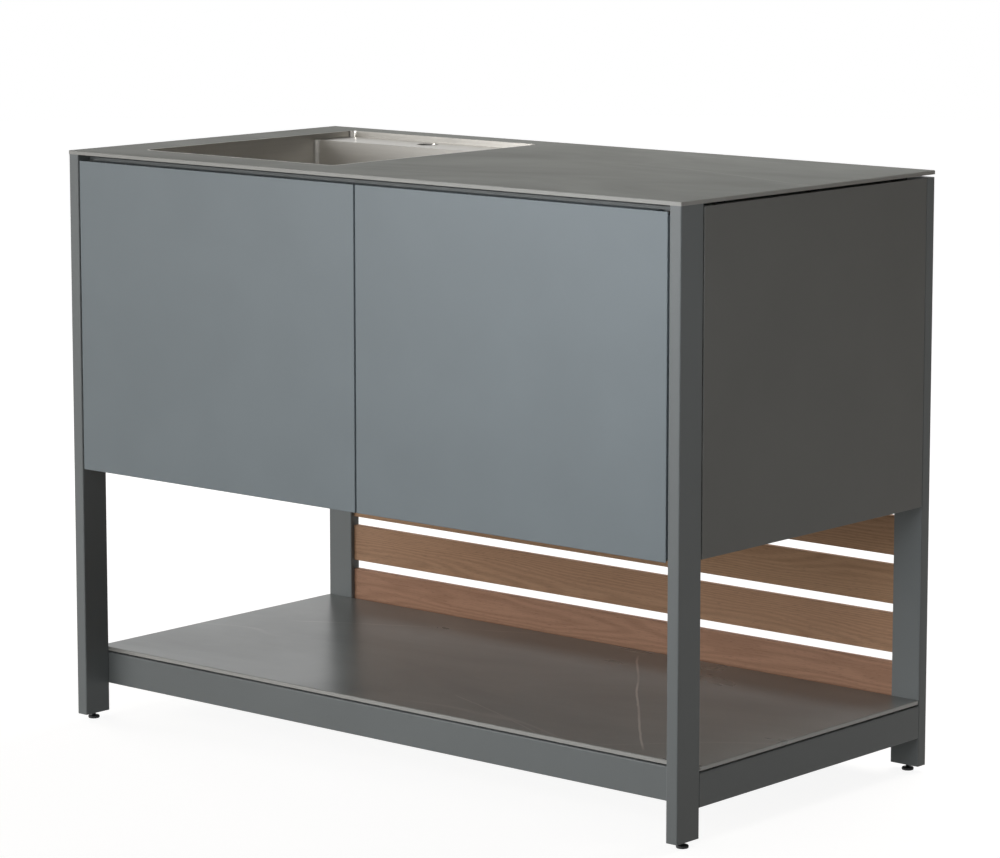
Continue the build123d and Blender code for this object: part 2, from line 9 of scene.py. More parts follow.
import bmesh
import bpy
from bpy.props import FloatProperty, FloatVectorProperty, IntProperty, PointerProperty
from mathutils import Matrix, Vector


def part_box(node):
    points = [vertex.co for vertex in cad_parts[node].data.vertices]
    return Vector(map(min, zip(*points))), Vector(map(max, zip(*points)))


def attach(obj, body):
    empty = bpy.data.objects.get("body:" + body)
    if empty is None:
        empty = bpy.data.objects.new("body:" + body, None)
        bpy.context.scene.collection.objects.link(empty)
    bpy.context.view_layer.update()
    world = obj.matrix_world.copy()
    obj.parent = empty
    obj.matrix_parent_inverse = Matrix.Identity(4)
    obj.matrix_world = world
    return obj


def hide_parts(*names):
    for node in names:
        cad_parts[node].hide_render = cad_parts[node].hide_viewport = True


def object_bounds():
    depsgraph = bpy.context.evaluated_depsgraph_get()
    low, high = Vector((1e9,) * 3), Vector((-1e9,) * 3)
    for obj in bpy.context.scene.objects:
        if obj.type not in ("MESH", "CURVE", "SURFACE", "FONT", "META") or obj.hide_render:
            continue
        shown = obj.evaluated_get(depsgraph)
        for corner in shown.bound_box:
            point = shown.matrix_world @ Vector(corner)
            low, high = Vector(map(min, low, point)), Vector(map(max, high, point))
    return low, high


bl_info = {
    "name": "Kitchen Sink Unit",
    "version": (1, 0, 0),
    "blender": (4, 5, 0),
    "location": "3D Viewport > Sidebar > Sink Unit",
    "description": "Finishes the kitchen sink unit and sets up its studio",
    "category": "Add Mesh",
}

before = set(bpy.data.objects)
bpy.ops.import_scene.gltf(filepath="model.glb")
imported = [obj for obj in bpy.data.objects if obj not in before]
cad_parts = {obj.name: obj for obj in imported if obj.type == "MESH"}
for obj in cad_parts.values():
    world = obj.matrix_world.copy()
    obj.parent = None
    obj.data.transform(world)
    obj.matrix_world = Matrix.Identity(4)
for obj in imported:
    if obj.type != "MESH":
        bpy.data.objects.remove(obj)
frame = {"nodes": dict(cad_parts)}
CAD_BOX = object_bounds()
NODES = frame["nodes"]
MM = 0.001

# Distance below which two vertices are one
WELD = 0.001 * MM

# Rings of vertices in one turn of a thread
THREAD_ROWS = 6


def linear(hex_colour):
    """Linear red, green and blue of an sRGB hex value."""
    shares = [int(hex_colour[place:place + 2], 16) / 255 for place in (1, 3, 5)]
    return [share / 12.92 if share <= 0.04045 else ((share + 0.055) / 1.055) ** 2.4 for share in shares]


# --- Sizes read from the frame ------------------------------------------------------------------------

UNIT_TOP = Vector(CAD_BOX[1]).z
SHELF_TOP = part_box("shelf")[1].z
SLAT_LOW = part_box("slat_01")[0].z
SLAT_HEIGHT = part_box("slat_01")[1].z - SLAT_LOW
SLAT_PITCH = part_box("slat_02")[0].z - SLAT_LOW


# --- Settings -----------------------------------------------------------------------------------------

def colour_setting(name, description, hex_colour):
    """Colour that shows as a swatch."""
    return FloatVectorProperty(
        name=name, description=description, subtype="COLOR", size=3, min=0, max=1, default=linear(hex_colour))


def length_setting(name, description, default):
    """Length in metres that shows in the scene's units."""
    return FloatProperty(
        name=name, description=description, default=default, min=0, unit="LENGTH", precision=4)


def level_setting(name, description, default):
    """Level of a light, where 1 shows a white face as white."""
    return FloatProperty(name=name, description=description, default=default, min=0)


class PaintSettings(bpy.types.PropertyGroup):
    """Powder coat of the frame, the doors and the panels."""
    frame: colour_setting("Frame", "Powder coat on the steel tube", "#777B7B")
    # The frame, the doors and the side panels carry one paint. The doors' colour, which the liners share, is
    # set lighter and bluer than the frame's as painted light of the front.
    doors: colour_setting("Doors", "Powder coat on the doors", "#7D868A")
    # The side panels' colour is set darker and warmer than the frame's as painted shade of the side.
    panels: colour_setting("Side panels", "Powder coat on the side panels", "#777773")
    liners: colour_setting("Door liners", "Powder coat on the inside of the doors", "#7D868A")
    skin: length_setting("Skin", "Spacing of the coat's fine waves", 3 * MM)


class StoneSettings(bpy.types.PropertyGroup):
    """Sintered stone of the worktop and the shelf."""
    top_dark: colour_setting("Worktop, dark", "Darker clouds in the worktop", "#6A6B65")
    top_light: colour_setting("Worktop, light", "Lighter clouds in the worktop", "#7E7F79")
    shelf_dark: colour_setting("Shelf, dark", "Darker clouds in the shelf", "#696D6C")
    shelf_light: colour_setting("Shelf, light", "Lighter clouds in the shelf", "#7D8280")
    # The cut edge's colour is the stone's paler body, made lighter still as a painted highlight of the light
    # that the edges catch.
    edge: colour_setting("Cut edge", "Body of the stone where it is cut", "#AAA9A4")
    top_vein: colour_setting("Worktop, vein", "Veins in the worktop", "#8E8E88")
    shelf_vein: colour_setting("Shelf, vein", "Veins in the shelf", "#C2BFB8")
    cloud: length_setting("Cloud", "Size of the clouds", 220 * MM)
    grit: length_setting("Grit", "Size of the fine grain", 2.5 * MM)


class WoodSettings(bpy.types.PropertyGroup):
    """Oiled teak of the slats."""
    early: colour_setting("Early wood", "Paler part of each ring", "#C09876")
    late: colour_setting("Late wood", "Darker part of each ring", "#A57F5F")
    pore: colour_setting("Pores", "Fine dark pores along the grain", "#7A5A42")
    ring: length_setting("Ring", "Width of a growth ring", 4.2 * MM)
    fibre: length_setting("Fibre", "Spacing of the fibres", 1.6 * MM)


class SmallPartSettings(bpy.types.PropertyGroup):
    """Steel, board, plastic and rubber parts."""
    steel: colour_setting("Stainless steel", "Brushed stainless steel of the sink", "#D0CDC7")
    zinc: colour_setting("Zinc", "Zinc plating of the fixings", "#B9B9B4")
    board: colour_setting("Board", "Melamine face of the cabinet's boards", "#55585A")
    plastic: colour_setting("Plastic", "Moulded black plastic", "#1F2021")
    rubber: colour_setting("Rubber", "Black rubber of the pads and stops", "#191919")
    sealant: colour_setting("Sealant", "Sealant in the joint round the sink", "#3B3B39")
    brushing: length_setting("Brushing", "Spacing of the brushed lines", 0.8 * MM)
    foot_ribs: IntProperty(
        name="Foot ribs", description="Grip ribs round a levelling foot", default=20, min=3)
    foot_pitch: length_setting("Foot thread", "Pitch of the foot's thread", 1 * MM)
    tail_pitch: length_setting("Waste thread", "Pitch of the thread on the waste's tail", 2.3 * MM)


class StageSettings(bpy.types.PropertyGroup):
    """Camera, lamps, floor and background."""
    camera_at: FloatVectorProperty(
        name="Camera", description="Where the camera stands", subtype="TRANSLATION", unit="LENGTH",
        size=3, default=(3.7862, -4.3704, 1.4289))
    azimuth: FloatProperty(
        name="Azimuth", description="How far the view is turned to the left of the back",
        subtype="ANGLE", default=math.radians(40.7522))
    tilt: FloatProperty(
        name="Tilt", description="How far the view is tilted down",
        subtype="ANGLE", default=math.radians(8.3269))
    lens: FloatProperty(name="Lens", description="Focal length in millimetres", default=138.99, min=1)
    shift: FloatProperty(name="Shift", description="Upright shift of the lens", default=-0.06)
    floor: colour_setting("Floor", "Studio floor", "#8E8B87")
    world: level_setting("World", "Level of the light from all round", 0.03)
    key: level_setting("Key", "Level of the softbox at the front left", 0.3)
    key_seen: level_setting("Key, mirrored", "Further level of the key, of a kind that metal mirrors", 0.16)
    front: level_setting("Front", "Level of the low softbox in front", 0.2)
    near: level_setting("Near", "Level of the small softbox by the right door", 0.085)
    top: level_setting("Top", "Level of the softbox overhead", 0.6)
    right: level_setting("Right", "Level of the warm softbox at the right", 0.03)
    glint: level_setting("Glint", "Level of the small softbox that lights nothing but gloss", 0.8)
    left: level_setting("Left", "Level of the softbox at the left", 0.3)


SETTINGS = {
    "sink_unit_paint": PaintSettings,
    "sink_unit_stone": StoneSettings,
    "sink_unit_wood": WoodSettings,
    "sink_unit_small_parts": SmallPartSettings,
    "sink_unit_stage": StageSettings,
}


# --- Materials ----------------------------------------------------------------------------------------

# The part of its range in which a noise mostly stays, and the whole range of a pattern
NOISE = (0.3, 0.7)
WHOLE = (0, 1)


def add_node(tree, kind, inputs=(), **settings):
    """Add a node, set it up and fill its inputs, which are given in order or by name.

    A node among them stands for its first output. Sockets that the node's settings switch off don't count.
    """
    new = tree.nodes.new("ShaderNode" + kind)
    for name, value in settings.items():
        setattr(new, name, value)
    sockets = [socket for socket in new.inputs if socket.enabled]
    if isinstance(inputs, dict):
        names = [socket.name for socket in sockets]
        sockets = [sockets[names.index(name)] for name in inputs]
        inputs = inputs.values()
    for socket, value in zip(sockets, inputs):
        if isinstance(value, bpy.types.Node):
            value = next(output for output in value.outputs if output.enabled)
        if isinstance(value, bpy.types.NodeSocket):
            tree.links.new(value, socket)
        else:
            socket.default_value = value
    return new


def start_material(name):
    """Material with an empty node tree, the tree, and the place on the object as a socket."""
    material = bpy.data.materials.new(name)
    material.use_nodes = True
    tree = material.node_tree
    tree.nodes.clear()
    return material, tree, add_node(tree, "TexCoord").outputs["Object"]


def finish_material(material, shader):
    """Link the shader to the output; hand the material back."""
    add_node(material.node_tree, "OutputMaterial", (shader,))
    return material


def opaque(colour):
    """Colour with full alpha, for a shader's socket."""
    return (*colour, 1)


def mottled(tree, colour, pattern, first, last, spread=NOISE):
    """Colour multiplied by a value that runs from the first to the last over the pattern's spread."""
    value = add_node(tree, "MapRange", (pattern, *spread, first, last))
    return add_node(tree, "HueSaturation", {"Color": opaque(colour), "Value": value})


def drawn_out(tree, place, long, narrow, detail):
    """Noise whose features lie along X, with a length and a width."""
    scales = (1 / long, 1 / narrow, 1 / narrow)
    stretched = add_node(tree, "VectorMath", (place, scales), operation="MULTIPLY")
    return add_node(tree, "TexNoise", {"Vector": stretched, "Scale": 1, "Detail": detail})


def facing_up(tree):
    """1 where the surface looks straight up or down, and 0 where it stands upright."""
    normal = add_node(tree, "SeparateXYZ", (add_node(tree, "TexCoord").outputs["Normal"],))
    return add_node(tree, "Math", (normal.outputs["Z"],), operation="ABSOLUTE")


def satin_powder_coat(name, colour, skin):
    """Polyester powder, sprayed on and baked: an even colour, a broad soft sheen, faint waves in the skin."""
    material, tree, place = start_material(name)
    cloud = add_node(tree, "TexNoise", {"Vector": place, "Scale": 1 / (140 * MM), "Detail": 2})
    waves = add_node(tree, "TexNoise", {"Vector": place, "Scale": 1 / skin, "Detail": 1})
    sheen = add_node(tree, "MapRange", (waves, *NOISE, 0.42, 0.48))
    bump = add_node(tree, "Bump", {"Strength": 0.12, "Distance": 0.05 * MM, "Height": waves})
    return finish_material(material, add_node(tree, "BsdfPrincipled", {
        "Base Color": mottled(tree, colour, cloud, 0.97, 1.03), "Roughness": sheen,
        "IOR": 1.5, "Specular IOR Level": 0.3, "Normal": bump}))


def sintered_stone(name, colours, settings, roughness, specular, veins):
    """Pressed and fired mineral, honed or half polished: soft clouds, fine grit, veins, a paler cut edge that
    also carries a painted highlight.

    Each vein is (start, end, bow sideways, half width, strength). The grit is drawn coarser than the real
    one, so that it shows.
    """
    dark, light, vein_colour = map(opaque, colours)
    material, tree, place = start_material(name)
    lengthways = add_node(tree, "VectorMath", (place, (0.45, 1, 1)), operation="MULTIPLY")
    cloud = add_node(tree, "TexNoise", {
        "Vector": lengthways, "Scale": 1 / settings.cloud, "Detail": 5, "Roughness": 0.6, "Distortion": 0.7})
    grit = add_node(tree, "TexNoise", {"Vector": place, "Scale": 1 / settings.grit, "Detail": 2})
    mottle = add_node(tree, "Math", (grit, 0.12, cloud), operation="MULTIPLY_ADD")
    tone = add_node(tree, "MapRange", (mottle, 0.38, 0.74))
    face = add_node(tree, "Mix", (tone, dark, light), data_type="RGBA")

    # Faint hairlines follow the middle level of a slow noise, and a second noise breaks them up
    drift = add_node(tree, "TexNoise", {
        "Vector": place, "Scale": 1 / (700 * MM), "Detail": 2, "Roughness": 0.4, "Distortion": 0.4})
    middle = add_node(tree, "Math", (drift, 0.5), operation="SUBTRACT")
    away = add_node(tree, "Math", (middle,), operation="ABSOLUTE")
    hairline = add_node(tree, "MapRange", (away, 0.0005, 0.005, 0.22, 0), interpolation_type="SMOOTHSTEP")
    breaks = add_node(tree, "TexNoise", {"Vector": place, "Scale": 1 / (240 * MM), "Detail": 2})
    broken = add_node(tree, "MapRange", (breaks, 0.46, 0.62))
    all_veins = add_node(tree, "Math", (hairline, broken), operation="MULTIPLY")
    wobble = add_node(tree, "TexNoise", {"Vector": place, "Scale": 1 / (130 * MM), "Detail": 3})
    for vein in veins:
        all_veins = add_node(
            tree, "Math", (all_veins, long_vein(tree, place, wobble, *vein)), operation="MAXIMUM")
    veined = add_node(tree, "Mix", (all_veins, face, vein_colour), data_type="RGBA")

    # A face that doesn't look up or down is cut, and shows the paler body, set lighter still as a painted
    # highlight of the light that the edges catch
    cut = add_node(tree, "MapRange", (facing_up(tree), 0.6, 0.9, 1, 0))
    stone = add_node(tree, "Mix", (cut, veined, opaque(settings.edge)), data_type="RGBA")
    gloss = add_node(tree, "MapRange", (cloud, *NOISE, roughness + 0.02, roughness - 0.02))
    bump = add_node(tree, "Bump", {"Strength": 0.2 * roughness ** 2, "Distance": 0.03 * MM, "Height": grit})
    return finish_material(material, add_node(tree, "BsdfPrincipled", {
        "Base Color": stone, "Roughness": gloss, "IOR": 1.5, "Specular IOR Level": specular, "Normal": bump}))


def long_vein(tree, place, wobble, start, end, bow, half_width, strength):
    """Strength of one vein that runs from its start to its end in a shallow bow with a slight wobble."""
    start, end = Vector(start), Vector(end)
    length = (end - start).length
    along = (end - start).normalized()
    across = Vector((-along.y, along.x, 0))
    reach = 5 * MM
    from_start = add_node(tree, "VectorMath", (place, start), operation="SUBTRACT")
    offset = add_node(tree, "VectorMath", (from_start, across), operation="DOT_PRODUCT")
    run = add_node(tree, "VectorMath", (from_start, along), operation="DOT_PRODUCT")
    angle = add_node(tree, "Math", (run, math.pi / length), operation="MULTIPLY")
    arc = add_node(tree, "Math", (angle,), operation="SINE")
    bowed = add_node(tree, "Math", (arc, -bow, offset), operation="MULTIPLY_ADD")
    line = add_node(tree, "Math", (wobble, 2 * reach, bowed), operation="MULTIPLY_ADD")
    middle = add_node(tree, "Math", (line, reach), operation="SUBTRACT")
    away = add_node(tree, "Math", (middle,), operation="ABSOLUTE")
    vein = add_node(
        tree, "MapRange", (away, half_width / 3, half_width, strength, 0), interpolation_type="SMOOTHSTEP")
    thins = add_node(tree, "MapRange", (wobble, 0.36, 0.52, 0.45, 1))
    fades = add_node(tree, "MapRange", (arc, 0, 0.2))
    ends = add_node(tree, "Math", (run, length / 2, length / 2), operation="COMPARE")
    for share in (thins, fades, ends):
        vein = add_node(tree, "Math", (vein, share), operation="MULTIPLY")
    return vein


def oiled_teak(name, settings):
    """Planed hardwood rubbed with oil: arched rings, other ones in each board, fine fibres and dark pores.

    The pores are drawn about three times as wide as real ones, so that they show.
    """
    material, tree, place = start_material(name)
    axes = add_node(tree, "SeparateXYZ", (place,)).outputs
    boards = add_node(
        tree, "Math", (axes["Z"], 1 / SLAT_PITCH, -SLAT_LOW / SLAT_PITCH), operation="MULTIPLY_ADD")
    board = add_node(tree, "Math", (boards,), operation="FLOOR")
    up = add_node(tree, "Math", (boards,), operation="FRACT")
    chance = add_node(tree, "TexWhiteNoise", {"W": board}, noise_dimensions="1D")
    three_chances = chance.outputs["Color"]
    shifted = add_node(tree, "VectorMath", (three_chances, (7, 0.3, 1.1), place), operation="MULTIPLY_ADD")

    # Rings: arches along the board, because it is sawn flat from a slightly tapered trunk
    height = add_node(tree, "Math", (up, SLAT_PITCH, -SLAT_HEIGHT / 2), operation="MULTIPLY_ADD")
    heart = add_node(tree, "Math", (chance, 80 * MM, -40 * MM), operation="MULTIPLY_ADD")
    from_heart = add_node(tree, "Math", (height, heart), operation="SUBTRACT")
    squared = add_node(tree, "Math", (from_heart, from_heart), operation="MULTIPLY")
    arch = add_node(tree, "Math", (squared, 1 / (75 * MM)), operation="MULTIPLY")
    taper = add_node(tree, "Math", (axes["X"], 0.018, arch), operation="MULTIPLY_ADD")
    warp = drawn_out(tree, shifted, 420 * MM, 60 * MM, 2)
    growth = add_node(tree, "Math", (warp, 34 * MM, taper), operation="MULTIPLY_ADD")
    phase = add_node(tree, "Math", (growth, 2 * math.pi / settings.ring), operation="MULTIPLY")
    wave = add_node(tree, "Math", (phase,), operation="SINE")
    ring = add_node(tree, "MapRange", (wave, -1, 1, 0.3, 0.7), interpolation_type="SMOOTHSTEP")

    # Fibres and pores run along the board
    fibre = drawn_out(tree, shifted, 90 * MM, settings.fibre, 3)
    tones = add_node(tree, "Math", (fibre, 0.8, ring), operation="MULTIPLY_ADD")
    depth = add_node(tree, "MapRange", (tones, 0.45, 1.3))
    wood = add_node(tree, "Mix", (depth, opaque(settings.early), opaque(settings.late)), data_type="RGBA")
    pore = drawn_out(tree, shifted, 14 * MM, 0.9 * MM, 1)
    pores = add_node(tree, "MapRange", (pore, 0.6, 0.72, 0, 0.45))
    pored = add_node(tree, "Mix", (pores, wood, opaque(settings.pore)), data_type="RGBA")

    # Each board has its own tone, and the lowest one is redder
    varied = add_node(tree, "Math", (chance, 0.005, 0.496), operation="MULTIPLY_ADD")
    lowest = add_node(tree, "Math", (board, 0.5), operation="LESS_THAN")
    hue = add_node(tree, "Math", (lowest, -0.01, varied), operation="MULTIPLY_ADD")
    lightness = add_node(tree, "SeparateColor", (three_chances,)).outputs["Green"]
    shade = add_node(tree, "MapRange", (lightness, *WHOLE, 0.94, 1.06))
    tinted = add_node(tree, "HueSaturation", {"Color": pored, "Hue": hue, "Value": shade})
    oil = add_node(tree, "MapRange", (fibre, *NOISE, 0.5, 0.62))
    bump = add_node(tree, "Bump", {"Strength": 0.3, "Distance": 0.15 * MM, "Height": fibre})
    return finish_material(material, add_node(tree, "BsdfPrincipled", {
        "Base Color": tinted, "Roughness": oil, "IOR": 1.5, "Specular IOR Level": 0.3, "Normal": bump}))


def brushed_stainless(name, colour, brushing):
    """Stainless sheet, brushed lengthways: a bright metal whose reflections smear across fine lines.

    The lines are drawn at the spacing of the setting, which is coarser than real brushing, so that they show.
    """
    material, tree, place = start_material(name)
    flat = add_node(tree, "MapRange", (facing_up(tree), 0.5, 0.9))
    long, fine = 1 / (700 * MM), 1 / brushing
    across = add_node(tree, "MapRange", (flat, *WHOLE, long, fine))
    scales = add_node(tree, "CombineXYZ", (long, across, fine))
    stretched = add_node(tree, "VectorMath", (place, scales), operation="MULTIPLY")
    lines = add_node(tree, "TexNoise", {"Vector": stretched, "Scale": 1, "Detail": 3})
    bands = add_node(tree, "TexNoise", {"Vector": stretched, "Scale": 0.12, "Detail": 2})
    grain = add_node(tree, "MapRange", (lines, *NOISE, 0.3, 0.34))
    bump = add_node(tree, "Bump", {"Strength": 0.04, "Distance": 0.02 * MM, "Height": lines})

    # The smear points to the back on flat parts and up on upright ones
    upright = add_node(tree, "Math", (1, flat), operation="SUBTRACT")
    smear = add_node(tree, "CombineXYZ", {"Y": flat, "Z": upright})
    return finish_material(material, add_node(tree, "BsdfPrincipled", {
        "Base Color": mottled(tree, colour, bands, 0.96, 1.03), "Metallic": 1, "Roughness": grain,
        "Anisotropic": 0.8, "Tangent": smear, "Normal": bump}))


def zinc_plated_steel(name, colour):
    """Turned or pressed steel with a thin zinc plating: a dull light metal, slightly patchy."""
    material, tree, place = start_material(name)
    patches = add_node(tree, "TexVoronoi", {"Vector": place, "Scale": 1 / (4 * MM)})
    dull = add_node(tree, "MapRange", (patches, *WHOLE, 0.36, 0.5))
    return finish_material(material, add_node(tree, "BsdfPrincipled", {
        "Base Color": mottled(tree, colour, patches, 1.05, 0.85, WHOLE), "Metallic": 1, "Roughness": dull}))


def melamine_board(name, colour):
    """Particle board pressed with a melamine paper: a flat even grey with a fine pearl texture."""
    material, tree, place = start_material(name)
    pearls = add_node(tree, "TexVoronoi", {"Vector": place, "Scale": 1 / (1.5 * MM)})
    fade = add_node(tree, "TexNoise", {"Vector": place, "Scale": 1 / (30 * MM), "Detail": 3})
    rough = add_node(tree, "MapRange", (fade, *WHOLE, 0.48, 0.58))
    bump = add_node(tree, "Bump", {"Strength": 0.2, "Distance": 0.05 * MM, "Height": pearls})
    return finish_material(material, add_node(tree, "BsdfPrincipled", {
        "Base Color": mottled(tree, colour, fade, 0.95, 1.05), "Roughness": rough,
        "IOR": 1.5, "Normal": bump}))


def moulded_plastic(name, colour, roughness):
    """Moulded plastic or rubber from a spark-eroded tool: dark, evenly dull, with a very fine grain.

    The grain is drawn coarser than the real one, so that it shows.
    """
    material, tree, place = start_material(name)
    grain = add_node(tree, "TexNoise", {"Vector": place, "Scale": 1 / (0.8 * MM), "Detail": 2})
    dull = add_node(tree, "MapRange", (grain, *WHOLE, roughness - 0.06, roughness + 0.06))
    bump = add_node(tree, "Bump", {"Strength": 0.3, "Distance": 0.03 * MM, "Height": grain})
    return finish_material(material, add_node(tree, "BsdfPrincipled", {
        "Base Color": mottled(tree, colour, grain, 0.9, 1.1, WHOLE), "Roughness": dull,
        "IOR": 1.5, "Normal": bump}))


def studio_floor(name, colour):
    """Painted studio floor: it takes the unit's shadow, and seen or mirrored it glows nearly white."""
    material, tree, place = start_material(name)
    level = add_node(tree, "VectorMath", (place, (1, 1, 0)), operation="MULTIPLY")
    away = add_node(tree, "VectorMath", (level,), operation="LENGTH")
    glow = add_node(tree, "MapRange", (away, 0.9, 2.4, 0.9, 1), interpolation_type="SMOOTHSTEP")
    strength = add_node(tree, "Math", (glow, white_rays(tree)), operation="MULTIPLY")
    light = add_node(tree, "Emission", {"Strength": strength})
    matt = add_node(tree, "BsdfDiffuse", {"Color": opaque(colour)})
    return finish_material(material, add_node(tree, "AddShader", (matt, light)))


def white_rays(tree, mirrored=1):
    """1 for a ray that shows the background straight or through glass, a given value for a mirrored one."""
    path = add_node(tree, "LightPath").outputs
    seen = add_node(tree, "Math", (path["Is Camera Ray"], path["Is Transmission Ray"]), operation="MAXIMUM")
    glossy = add_node(tree, "Math", (path["Is Glossy Ray"], mirrored), operation="MULTIPLY")
    return add_node(tree, "Math", (seen, glossy), operation="MAXIMUM")


# --- Meshes -------------------------------------------------------------------------------------------

def on_circle(radius, around):
    """X and Y of a point on a circle, from the part of a turn that it lies round."""
    angle = 2 * math.pi * around
    return radius * math.cos(angle), radius * math.sin(angle)


def flutes(count):
    """Relief of flutes round an axis; with a share of 1 they reach in to the axis."""
    return lambda radius, around, height: radius * (0.5 + 0.5 * math.cos(2 * math.pi * count * around))


def thread(pitch, depth):
    """Relief of a thread with one start."""
    return lambda radius, around, height: depth * abs(2 * ((height / pitch - around) % 1) - 1)


def turn(shape, profile, at, steps, relief=None, hollow=False):
    """Add a solid or hollow piece turned round an upright axis, and hand back its vertices.

    A point of the profile is (radius, height) in millimetres, and a third number is the share of the relief
    that is cut into it. A solid's profile runs from its lower cap to its upper one, and a hollow piece's runs
    round its wall.
    """
    rings = []
    for radius, height, *share in profile:
        ring = []
        for step in range(steps):
            around = step / steps
            cut = share[0] * relief(radius, around, height) if share else 0
            ring.append(shape.verts.new(at + MM * Vector((*on_circle(radius - cut, around), height))))
        rings.append(ring)
    if hollow:
        join_rings(shape, rings + rings[:1])
    else:
        join_rings(shape, rings)
        shape.faces.new(rings[0][::-1])
        shape.faces.new(rings[-1])
    return [vert for ring in rings for vert in ring]


def join_rings(shape, rings):
    """Skin a stack of rings from one to the next."""
    steps = len(rings[0])
    for under, over in zip(rings, rings[1:]):
        for step in range(steps):
            after = (step + 1) % steps
            shape.faces.new((under[step], under[after], over[after], over[step]))


def drilled_disc(shape, radius, thick, middle, rows, hole):
    """Add a flat disc whose holes stand in rows of (radius, count); all but its middle is in millimetres."""
    curve = bpy.data.curves.new("drilled_disc", "CURVE")
    curve.dimensions, curve.fill_mode, curve.extrude = "2D", "BOTH", thick / 2 * MM
    circles = [(0, 0, radius, 72)]
    for reach, count in rows:
        circles += [(*on_circle(reach, step / count), hole, 14) for step in range(count)]
    for centre_x, centre_y, size, steps in circles:
        spline = curve.splines.new("POLY")
        spline.points.add(steps - 1)
        spline.use_cyclic_u = True
        for step, point in enumerate(spline.points):
            x, y = on_circle(size, step / steps)
            point.co = (MM * (centre_x + x), MM * (centre_y + y), 0, 1)
    holder = bpy.data.objects.new("drilled_disc", curve)
    flat = bpy.data.meshes.new_from_object(holder)
    single = bmesh.new()
    single.from_mesh(flat)
    bmesh.ops.remove_doubles(single, verts=single.verts, dist=WELD)
    bmesh.ops.translate(single, vec=middle, verts=single.verts)
    single.to_mesh(flat)
    single.free()
    shape.from_mesh(flat)
    bpy.data.objects.remove(holder)
    bpy.data.curves.remove(curve)
    bpy.data.meshes.remove(flat)


def upright_size(node):
    """Point on the floor under a node's middle, and its half width, foot and top in millimetres."""
    low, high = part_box(node)
    at = Vector(((low.x + high.x) / 2, (low.y + high.y) / 2, 0))
    return at, (high.x - low.x) / 2 / MM, low.z / MM, high.z / MM


def loose_boxes(node):
    """Lowest and highest corner of each separate solid in a node."""
    shape = bmesh.new()
    shape.from_mesh(NODES[node].data)
    bmesh.ops.remove_doubles(shape, verts=shape.verts, dist=WELD)
    seen, boxes = set(), []
    for start in shape.verts:
        if start in seen:
            continue
        seen.add(start)
        solid = [start]
        for vert in solid:
            for edge in vert.link_edges:
                other = edge.other_vert(vert)
                if other not in seen:
                    seen.add(other)
                    solid.append(other)
        axes = list(zip(*[vert.co for vert in solid]))
        boxes.append([Vector([end(values) for values in axes]) for end in (min, max)])
    shape.free()
    return boxes


def add_piece(name, shape, material, body, replaced=(), sharp=35):
    """Make an object of a finished shape, smooth it up to an angle, and hand it to a body of the frame."""
    bmesh.ops.recalc_face_normals(shape, faces=shape.faces)
    mesh = bpy.data.meshes.new(name)
    shape.to_mesh(mesh)
    shape.free()
    mesh.shade_smooth()
    mesh.set_sharp_from_angle(angle=math.radians(sharp))
    mesh.materials.append(material)
    piece = bpy.data.objects.new(name, mesh)
    bpy.context.scene.collection.objects.link(piece)
    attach(piece, body)
    if replaced:
        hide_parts(*replaced)


def finish_nodes(material, *names):
    """Give nodes of the frame a material in all their slots."""
    for name in names:
        for slot in NODES[name].material_slots:
            slot.material = material


# --- Operators ----------------------------------------------------------------------------------------

class SINKUNIT_OT_coat_frame(bpy.types.Operator):
    """Powder coat the legs and the rails"""
    bl_idname = "sink_unit.coat_frame"
    bl_label = "Coat Frame"

    def execute(self, context):
        paint = context.scene.sink_unit_paint
        coat = satin_powder_coat("satin_powder_coat_on_steel_tube", paint.frame, paint.skin)
        names = [name for name in NODES if name.startswith("leg_") or "_rail" in name]
        names.remove("leg_end_plugs")
        finish_nodes(coat, *names)
        return {"FINISHED"}


class SINKUNIT_OT_coat_doors(bpy.types.Operator):
    """Powder coat the doors and their liners, and finish what they turn on"""
    bl_idname = "sink_unit.coat_doors"
    bl_label = "Coat Doors"

    def execute(self, context):
        paint = context.scene.sink_unit_paint
        small = context.scene.sink_unit_small_parts
        # The doors' and liners' coat is a lighter, bluer copy of the frame's paint: painted light of the
        # front
        skin = satin_powder_coat("satin_powder_coat_on_door_sheet", paint.doors, paint.skin)
        liner = satin_powder_coat("satin_powder_coat_on_liner", paint.liners, paint.skin)
        bush = moulded_plastic("moulded_polyamide", small.plastic, 0.45)
        finish_nodes(skin, "left_door_skin", "right_door_skin")
        finish_nodes(liner, "left_door_liner", "right_door_liner")
        finish_nodes(bush, "left_door_bushes", "right_door_bushes")
        finish_nodes(zinc_plated_steel("zinc_plated_pivots", small.zinc), "door_pivots")
        return {"FINISHED"}


class SINKUNIT_OT_coat_panels(bpy.types.Operator):
    """Powder coat the side panels"""
    bl_idname = "sink_unit.coat_panels"
    bl_label = "Coat Side Panels"

    def execute(self, context):
        paint = context.scene.sink_unit_paint
        # The panels' coat is a darker, warmer copy of the frame's paint: painted shade of the side
        coat = satin_powder_coat("satin_powder_coat_on_aluminium", paint.panels, paint.skin)
        finish_nodes(coat, "side_panel_left", "side_panel_right")
        return {"FINISHED"}


